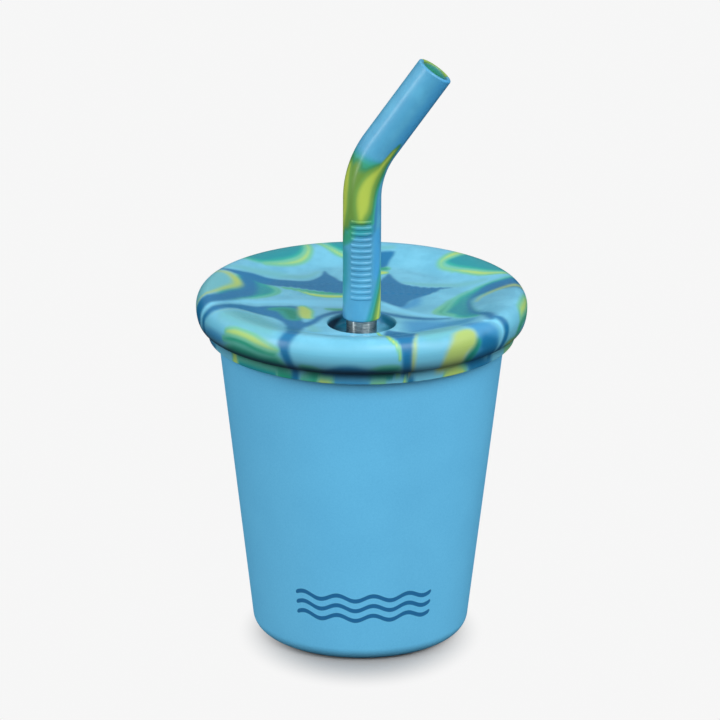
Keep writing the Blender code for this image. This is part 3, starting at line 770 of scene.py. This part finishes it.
def make_cup():
    """One steel wall: coated outside from under the lip to the foot, bare inside, on the lip and below."""
    lean = math.atan(CUP_TAPER)
    lean_degrees = math.degrees(lean)
    corner = (wall_r(CORNER_R) - CORNER_R / math.cos(lean), CORNER_R)
    lip = (LIP_CENTRE_R, CUP_HEIGHT - LIP_R)
    below = rounded([(0, PANEL_LIFT), (PANEL_R, PANEL_LIFT), (FOOT_INNER_R, 0), (corner[0], 0)],
                    {1: PANEL_FILLET, 2: FOOT_FILLET}, 6)
    coated = arc(corner, CORNER_R, -90, -lean_degrees, 18)
    neck = (wall_r(CUP_NECK_Z), CUP_NECK_Z)
    under_lip = (lip[0] - UNDER_LIP[0], lip[1] - UNDER_LIP[1])
    coated += between(coated[-1], neck, 24) + [neck] + between(neck, under_lip, 4) + [under_lip]
    bare = [(under_lip[0] - COAT, under_lip[1] + COAT)]
    bare += arc(lip, LIP_R, LIP_START, 180, 26)
    inner_neck = (neck[0] - STEEL, neck[1])
    bare += between(bare[-1], inner_neck, 5) + [inner_neck]
    inner = arc(corner, CORNER_R - STEEL, -lean_degrees, -90, 14)
    bare += between(inner_neck, inner[0], 24) + inner
    panel_z = PANEL_LIFT + STEEL
    floor = rounded([inner[-1], (FOOT_INNER_R, STEEL), (PANEL_R, panel_z), (0, panel_z)],
                    {1: FOOT_FILLET, 2: PANEL_FILLET}, 6)
    profile = below[:-1] + coated + bare + floor[1:]
    first_coated, first_bare = len(below) - 3, len(below) - 1 + len(coated)
    obj = ring_mesh("cup", circles(profile, CUP_FACETS))
    for polygon in obj.data.polygons:
        ring = polygon.index // CUP_FACETS
        polygon.material_index = 0 if first_coated <= ring < first_bare else 1
    close_poles(obj)
    inside = steel_material("bare_steel_inside", INSIDE_STEEL, (1.0, 1.0, 14.0), 0.30)
    finish_mesh(obj, coat_material(), inside)
    return obj


# ---- lid


def dish_height(r):
    """Height of the dished top at a distance from the lid's axis."""
    t = np.clip((CREST_R - r) / (CREST_R - DISH_FLAT_R), 0, 1)
    return LID_TOP + (DISH_Z - LID_TOP) * t * t * (3 - 2 * t)


def flange_points():
    """From the flange's underside round its widest ring to the crest, with the mould's parting line."""
    parting = ((0.16, 0.0), (0.08, 0.0), (0.0, 0.05), (-0.08, 0.0), (-0.16, 0.0))  # (drop, depth) in mm
    below = arc((FLANGE_UNDER_R, WIDEST_Z), LID_R - FLANGE_UNDER_R, -90, 0, 15, WIDEST_Z - FLANGE_BOTTOM_Z)
    above = arc((CREST_R, WIDEST_Z), LID_R - CREST_R, 0, 90, 20, LID_TOP - WIDEST_Z)
    middle = [(LID_R - depth * MM, WIDEST_Z - drop * MM) for drop, depth in parting]
    return below[1:-1] + middle + above[1:]


TICK_COUNT = 21
TICK_PITCH = 2.1 * MM
TICK_ROW_Y = 10.0 * MM
TICK_ROW_R = 85.0 * MM  # the row bends round a point this far in front of its middle
TICK_HALF = (0.4 * MM, 3.8 * MM)
TICK_FLANKS = (0.1 * MM, 0.15 * MM), (0.2 * MM, 0.25 * MM)
TICK_HEIGHT = 0.12 * MM


def tick_height(x, y):
    """A shallow row of raised ticks across the dish, behind the straw."""
    height = np.zeros(x.shape)
    for i in range(TICK_COUNT):
        centre_x = (i - (TICK_COUNT - 1) / 2) * TICK_PITCH
        centre_y = TICK_ROW_Y - centre_x * centre_x / (2 * TICK_ROW_R)
        height = np.maximum(height, raised_bar(x - centre_x, y - centre_y, TICK_HALF, *TICK_FLANKS))
    return height * TICK_HEIGHT


def lid_rings():
    """The lid's closed section as rings; rings near the well are centred on the straw instead of the lid."""
    under_z = DISH_Z - LID_SHEET
    floor_z = DISH_Z - WELL_DEPTH
    boss_z = floor_z - WELL_BOSS_DROP
    hole_r = STRAW_R + SNUG
    edge, fillet = LID_EDGE_R, LID_FILLET
    outer = rounded([(SKIRT_INNER_R, SKIRT_BOTTOM), (SKIRT_OUTER_R[0], SKIRT_BOTTOM),
                     (SKIRT_OUTER_R[1], FLANGE_BOTTOM_Z), (FLANGE_UNDER_R, FLANGE_BOTTOM_Z)],
                    {0: edge, 1: edge, 2: 0.4 * MM})
    profile = outer + flange_points()
    centre = [0.0] * len(profile)
    for i in range(1, DISH_RINGS + 1):
        t = i / DISH_RINGS
        profile.append((CREST_R + (WELL_LIP_R - CREST_R) * t, None))
        centre.append(STRAW_Y * t)
    well = rounded([(WELL_LIP_R, DISH_Z), (WELL_R, DISH_Z), (WELL_FLOOR_R, floor_z), (hole_r, floor_z),
                    (hole_r, COLLAR_BOTTOM_Z), (COLLAR_R, COLLAR_BOTTOM_Z), (COLLAR_R, boss_z),
                    (WELL_BOSS_R, boss_z), (WELL_BOSS_R, under_z)],
                   {1: edge, 2: 0.7 * MM, 3: 0.25 * MM, 4: edge, 5: edge, 6: fillet, 7: fillet}, 6)
    lip_end, wall_end = well[7:9]
    well = well[1:8] + between(lip_end, wall_end, 4) + well[8:]
    profile += well
    centre += [STRAW_Y] * len(well)
    for i in range(1, UNDER_RINGS + 1):
        t = i / UNDER_RINGS
        profile.append((WELL_BOSS_R + (PLUG_R[0] - WELL_BOSS_R) * t, under_z))
        centre.append(STRAW_Y * (1 - t))
    plug = rounded([(PLUG_R[0], under_z), (PLUG_R[0] + edge, PLUG_BOTTOM_Z), (PLUG_R[1], PLUG_BOTTOM_Z),
                    (PLUG_R[1], GROOVE_Z), (SKIRT_INNER_R, GROOVE_Z), (SKIRT_INNER_R, SKIRT_BOTTOM)],
                   {1: edge, 2: fillet, 3: edge, 4: edge})[1:-1]
    plug += between(plug[-1], (SKIRT_INNER_R, SKIRT_BOTTOM), 12)[:-1]
    profile += plug
    centre += [0.0] * len(plug)
    radii = [(r, 0.0 if z is None else z) for r, z in profile]
    rings = circles(radii, LID_FACETS, np.array(centre))
    for i, (_, z) in enumerate(profile):
        if z is None:
            x, y = rings[i, :, 0], rings[i, :, 1]
            rings[i, :, 2] = dish_height(np.hypot(x, y)) + tick_height(x, y)
    return rings


# How far beyond the crest the lid's surface lies when flattened, for each drop below the crest, in mm
FLAT_DROP = np.array([0.0, 0.35, 1.2, 2.5, 4.3, 6.6, 9.1, 12.6])
FLAT_BEYOND = np.array([0.0, 1.6, 3.0, 4.4, 6.2, 8.5, 11.6, 16.2])


def flattened(points):
    """(u, v) in mm of lid points: plan view inside the crest, then on down the flange and skirt."""
    r = np.hypot(points[:, 0], points[:, 1])
    drop = np.clip(LID_TOP - points[:, 2], 0, None)
    outside = r > SKIRT_INNER_R - 0.2 * MM
    beyond = np.interp(drop, FLAT_DROP * MM, FLAT_BEYOND * MM)
    past_crest = outside & ((r > CREST_R) | (points[:, 2] < 90 * MM) | (drop > 2.0 * MM))
    reach = np.where(past_crest, CREST_R + beyond, r)
    angle = np.arctan2(points[:, 1], points[:, 0])
    return reach * np.cos(angle) / MM, reach * np.sin(angle) / MM


ROLL_REACH = (41.5, 46.5)  # mm from the flattened lid's centre, where the flange's base colour, partly a painted highlight, comes in
CREASE_REACH = (46.4, 48.4, 50.0, 51.2, 52.4, 53.4, 54.4, 55.4)  # mm from there, down to the skirt
CREASE_SHADE = (0.0, 0.22, 0.6, 0.95, 0.97, 0.6, 0.15, 0.0)  # how dark the painted shade makes the lid at each of them
# How much weaker the painted shade under the flange is to the right, and low down at the left
CREASE_LESS_RIGHT = 0.38
CREASE_LESS_LEFT = 0.5
FLANK_SIDE = 5 * MM  # the painted shade on the well's flanks ends on a slanted line through this side and depth
FLANK_DEPTH = 1 * MM
FLANK_SLOPE = 1.05
WELL_LESS_RIGHT = 0.65  # how much less dark the painted shade makes the well at its lit right side
WELL_LESS_BELOW = (0.75, 1.0)  # and below that line, at its left and at its right
SHADE_TINT_LESS = 0.9  # how much less of the painted shade tint it gets below the line at its right


def painted_crease_shade(u, v):
    """How dark the painted shade under the flange is: less to the right, and less low down at the left."""
    reach = np.hypot(u, v)
    right = smoothstep(6, 24, u)
    low_left = smoothstep(12, 34, -u) * smoothstep(51.6, 53.4, reach)
    shade = np.interp(reach, CREASE_REACH, CREASE_SHADE)
    return shade * (1 - CREASE_LESS_RIGHT * right) * (1 - CREASE_LESS_LEFT * low_left)


def painted_well_shade(points):
    """(shade, tint) of lid points in the well, both painted shade: dark flanks, the left one darker than the
    right.
    """
    x = points[:, 0]
    depth = DISH_Z - points[:, 2]
    in_well = np.hypot(x, points[:, 1] - STRAW_Y) < WELL_LIP_R + 0.05 * MM
    sunk = smoothstep(0.2 * MM, 1.2 * MM, depth) * in_well
    right = smoothstep(0, 4 * MM, x)
    past_line = depth - (FLANK_DEPTH + FLANK_SLOPE * (np.abs(x) - FLANK_SIDE))
    below = smoothstep(-1 * MM, 1 * MM, past_line)
    left_less, right_less = WELL_LESS_BELOW
    shady = (1 - WELL_LESS_RIGHT * right) * (1 - below * (left_less + (right_less - left_less) * right))
    return sunk * shady, sunk * (1 - SHADE_TINT_LESS * right * below)


def make_lid():
    rings = lid_rings()
    points = rings.reshape(-1, 3)
    obj = ring_mesh("lid_moulding", rings)
    u, v = flattened(points)
    # Painted shade: a dark band under the flange, dark flanks in the well and a darker teal tint inside it
    shade, shade_tint = painted_well_shade(points)
    point_attribute(obj.data, "roll", smoothstep(*ROLL_REACH, np.hypot(u, v)))
    point_attribute(obj.data, "painted_shade", np.maximum(painted_crease_shade(u, v), shade))
    # The well attribute is painted shade: how far the lid is tinted the darker teal inside the well
    point_attribute(obj.data, "well", shade_tint)
    paint(obj.data, LID_DYES, LID_STROKES + back_strokes(), *stirred(u, v))
    finish_mesh(obj, silicone_material("lid_silicone_dyed", LID_BASE, LID_DYES, roll_base=LID_ROLL_BASE))
    return obj


# ---- straw and tip


def make_straw():
    """The steel tube, with its foot flared so that it can't leave the lid."""
    flare_top = STRAW_FOOT + FLARE_HEIGHT
    edge = 0.15 * MM
    turn = 1.5 * MM
    outline = rounded([(STRAW_BORE_R + FLARE_R - STRAW_R, STRAW_FOOT), (FLARE_R, STRAW_FOOT),
                       (STRAW_R, flare_top), (STRAW_R, STRAW_TOP),
                       (STRAW_BORE_R, STRAW_TOP), (STRAW_BORE_R, flare_top)],
                      {0: edge, 1: edge, 2: turn, 3: edge, 4: edge, 5: turn})
    obj = ring_mesh("straw", circles(outline, STRAW_FACETS, STRAW_Y))
    finish_mesh(obj, steel_material("straw_brushed_steel", STRAW_STEEL, (0.05, 0.05, 0.8), 0.32, turned=True))
    return obj


class TipLine:
    """The tip's centreline: straight up, round the elbow, then straight to the drinking end."""

    def __init__(self):
        tangent = ELBOW_R * math.tan(ELBOW_BEND / 2)
        self.bend_start = ELBOW_Z - tangent - TIP_BOTTOM
        self.bend_end = self.bend_start + ELBOW_R * ELBOW_BEND
        self.end = self.bend_end + MOUTH_LENGTH - tangent

    def rings(self, outline, facets):
        """Rings of a tube whose outline is (distance along the line, radius)."""
        angles = np.arange(facets) * 2 * math.pi / facets
        rings = []
        for along, radius in outline:
            turn = min(max((along - self.bend_start) / ELBOW_R, 0), ELBOW_BEND)
            past = max(along - self.bend_end, 0)
            x = ELBOW_R * (1 - math.cos(turn)) + math.sin(turn) * past
            z = TIP_BOTTOM + min(along, self.bend_start) + ELBOW_R * math.sin(turn) + math.cos(turn) * past
            sideways = radius * np.cos(angles)
            rings.append(np.stack([x + sideways * math.cos(turn),
                                   STRAW_Y + radius * np.sin(angles),
                                   z - sideways * math.sin(turn)], -1))
        return np.array(rings)


GRIP_BARS = 14
GRIP_FIRST = 6.6 * MM
GRIP_PITCH = 1.6 * MM
GRIP_HALF = (2.75 * MM, 0.34 * MM)
GRIP_FLANKS = (0.15 * MM, 0.10 * MM), (0.2 * MM, 0.14 * MM)
GRIP_HEIGHT = 0.24 * MM
GRIP_TURN = -2  # degrees off the tube's front


def grip_height(along, around):
    """Raised grip bars across the front of the tip; around is in metres from the tube's front."""
    height = np.zeros(along.shape)
    centre = math.radians(GRIP_TURN) * TIP_R
    for i in range(GRIP_BARS):
        up = along - (GRIP_FIRST + i * GRIP_PITCH)
        height = np.maximum(height, raised_bar(around - centre, up, GRIP_HALF, *GRIP_FLANKS))
    return height * GRIP_HEIGHT


def tip_outline(line):
    """The tip's closed section as (distance along its line, radius), with its rings closest at the bars."""
    edge = TIP_EDGE_R
    lip = MOUTH_LIP_R
    socket_end = STRAW_TOP + SNUG - TIP_BOTTOM
    socket_r = STRAW_R + SNUG
    bars_end = GRIP_FIRST + GRIP_BARS * GRIP_PITCH
    outline = arc((edge, TIP_R - edge), edge, 180, 90, 6)
    for start, end, step in (
        (1 * MM, GRIP_FIRST - 1.4 * MM, 0.8 * MM),
        (GRIP_FIRST - 1.2 * MM, bars_end, 0.11 * MM),
        (bars_end + 0.6 * MM, line.end - edge, 0.7 * MM),
    ):
        outline += [(s, TIP_R) for s in np.arange(start, end, step)]
    outline += arc((line.end - edge, TIP_R - edge), edge, 90, 0, 6)
    outline += arc((line.end - lip, TIP_BORE_R + lip), lip, 0, -90, 5)
    outline += [(s, TIP_BORE_R) for s in np.arange(line.end - 1 * MM, socket_end, -1 * MM)]
    outline += [(socket_end, TIP_BORE_R)]
    outline += [(s, socket_r) for s in np.arange(socket_end, 0.4 * MM, -2 * MM)]
    return np.array(outline + [(0.25 * MM, socket_r), (0.0, socket_r + 0.2 * MM)])


def make_tip():
    """One moulding: a socket over the steel tube, an elbow and an open drinking end."""
    line = TipLine()
    outline = tip_outline(line)
    rings = line.rings(outline, TIP_FACETS)
    angles = np.arange(TIP_FACETS) * 2 * math.pi / TIP_FACETS
    from_front = (angles + math.pi / 2 + math.pi) % (2 * math.pi) - math.pi
    along = np.broadcast_to(outline[:, :1], rings.shape[:2])
    around = np.broadcast_to(from_front[None, :] * TIP_R, rings.shape[:2])
    on_outside = np.isclose(outline[:, 1], TIP_R)[:, None]
    raised = np.where(on_outside, grip_height(along, around), 0.0)
    rings[..., 0] += raised * np.cos(angles)
    rings[..., 1] += raised * np.sin(angles)
    obj = ring_mesh("flex_tip", rings)
    point_attribute(obj.data, "rest", rings.reshape(-1, 3), "FLOAT_VECTOR")
    within = outline[:, 1] < TIP_R - TIP_EDGE_R - 0.01 * MM
    unrolled = np.where(within[:, None], 2 * line.end - along, along)
    girth = 2 * math.pi * TIP_R / MM
    paint(obj.data, TIP_DYES, TIP_STROKES, around.ravel() / MM, unrolled.ravel() / MM, girth)
    finish_mesh(obj, silicone_material("tip_silicone_dyed", TIP_BASE, TIP_DYES, "rest"))
    return obj


# ---- studio


VIEW_PITCH = math.radians(19.18)
VIEW_ROLL = math.radians(0.248)
VIEW_DISTANCE = 1.5
VIEW_CENTRE = Vector((-0.00038, 0, 0.07521))
LENS = 281.4
SENSOR = 36.0

DOME_ABOVE = 1.55
DOME_BELOW = 0.02
DOME_PEAK = 0.42  # height of the brightest ring on a dome of radius 1
DOME_ZENITH = 0.25  # share of the brightness left straight overhead
DOME_BEHIND = 0.3  # and straight behind
DOME_BACK = (0.1, 0.9)  # how far back, on that dome, it starts to dim and has dimmed
KEY_SIDE = (0.50, -0.866, 0.0)
KEY_SHARE = 0.15

# Name, direction, distance from the aim, watts, (width, height)
LIGHTS = (
    ("overhead", (0.02, -0.15, 1.0), 0.60, 0.3, (1.0, 1.0)),
    ("key", (0.38, -0.66, 0.75), 0.75, 2.4, (0.36, 0.36)),
    ("left_strip", (-0.855, -0.444, 0.30), 1.1, 4.2, (0.10, 0.8)),
    ("right_box", (0.80, -0.57, 0.25), 1.2, 2.6, (0.20, 0.8)),
)
LIGHT_AIM = Vector((0, 0, 0.07))

FLOOR_REACH = 6.0
FLOOR_DROP = 0.02 * MM  # below the cup's foot
# The paper's grey near the foot, darker than its glow, is partly painted shadow
FLOOR_DARK = (0.36, 0.36, 0.36, 1)
FLOOR_GLOW = 0.925
GLOW_CENTRE_Y = -6 * MM
GLOW_SQUEEZE = 1.25  # the glowing ring, and the painted shadow inside it, is narrower to the sides
GLOW_FROM = 22 * MM
GLOW_TO = 42 * MM


def make_camera():
    data = bpy.data.cameras.new("camera")
    data.lens = LENS
    data.sensor_width = SENSOR
    data.clip_start = 0.05
    data.clip_end = 50
    camera = add_object("camera", data)
    turn = Matrix.Rotation(math.pi / 2 - VIEW_PITCH, 4, "X") @ Matrix.Rotation(VIEW_ROLL, 4, "Z")
    camera.matrix_world = Matrix.Translation(VIEW_CENTRE) @ turn @ Matrix.Translation((0, 0, VIEW_DISTANCE))
    bpy.context.scene.camera = camera


def make_light(name, direction, distance, watts, size):
    data = bpy.data.lights.new(name, "AREA")
    data.energy = watts
    data.shape = "RECTANGLE"
    data.size, data.size_y = size
    light = add_object(name, data)
    aim = Vector(direction).normalized()
    light.location = LIGHT_AIM + aim * distance
    light.rotation_euler = aim.to_track_quat("Z", "Y").to_euler()


def make_dome():
    """A white world, dimmer below, overhead and behind, and a little brighter on the key's side."""
    g = Graph(bpy.data.worlds.new("studio"), "Background")
    bpy.context.scene.world = g.owner
    direction = g.node("TexCoord", {})["Generated"]
    _, back, height = g.split(direction)
    strength = g.remap(height, 0.0, DOME_PEAK, DOME_BELOW, DOME_ABOVE, smooth=True)
    towards_key = g.vector_math("DOT_PRODUCT", direction, KEY_SIDE)
    side = g.math("ADD", g.math("MULTIPLY", towards_key, KEY_SHARE), 1.0)
    fall = g.remap(height, DOME_PEAK, 1.0, 1.0, DOME_ZENITH)
    behind = g.remap(back, *DOME_BACK, 1.0, DOME_BEHIND, smooth=True)
    for factor in (side, fall, behind):
        strength = g.math("MULTIPLY", strength, factor)
    g.set("Strength", strength)
    g.set("Color", (1, 1, 1, 1))


def make_floor():
    """The paper under the cup. The cup neither mirrors it nor takes light from it."""
    mesh = bpy.data.meshes.new("floor")
    signs = ((-1, -1), (1, -1), (1, 1), (-1, 1))
    mesh.from_pydata([(x * FLOOR_REACH, y * FLOOR_REACH, -FLOOR_DROP) for x, y in signs], [], [(0, 1, 2, 3)])
    floor = add_object("floor", mesh)
    floor.visible_diffuse = False
    floor.visible_glossy = False
    floor.visible_shadow = False
    mesh.materials.append(floor_material())


def make_studio():
    """A white dome, with a soft light above, a key and two tall boxes that draw the streaks."""
    bpy.context.scene.view_settings.view_transform = "Standard"
    make_dome()
    for light in LIGHTS:
        make_light(*light)
    make_floor()


# ---- assembly

make_camera()
make_studio()

cup = make_cup()
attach(cup, "cup")
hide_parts("cup_body")

lid = make_lid()
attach(lid, "lid")
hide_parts("lid")

straw = make_straw()
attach(straw, "straw")
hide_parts("straw_tube")

tip = make_tip()
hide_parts("flex_tip_sleeve", "flex_tip_mouthpiece")
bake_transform(tip)
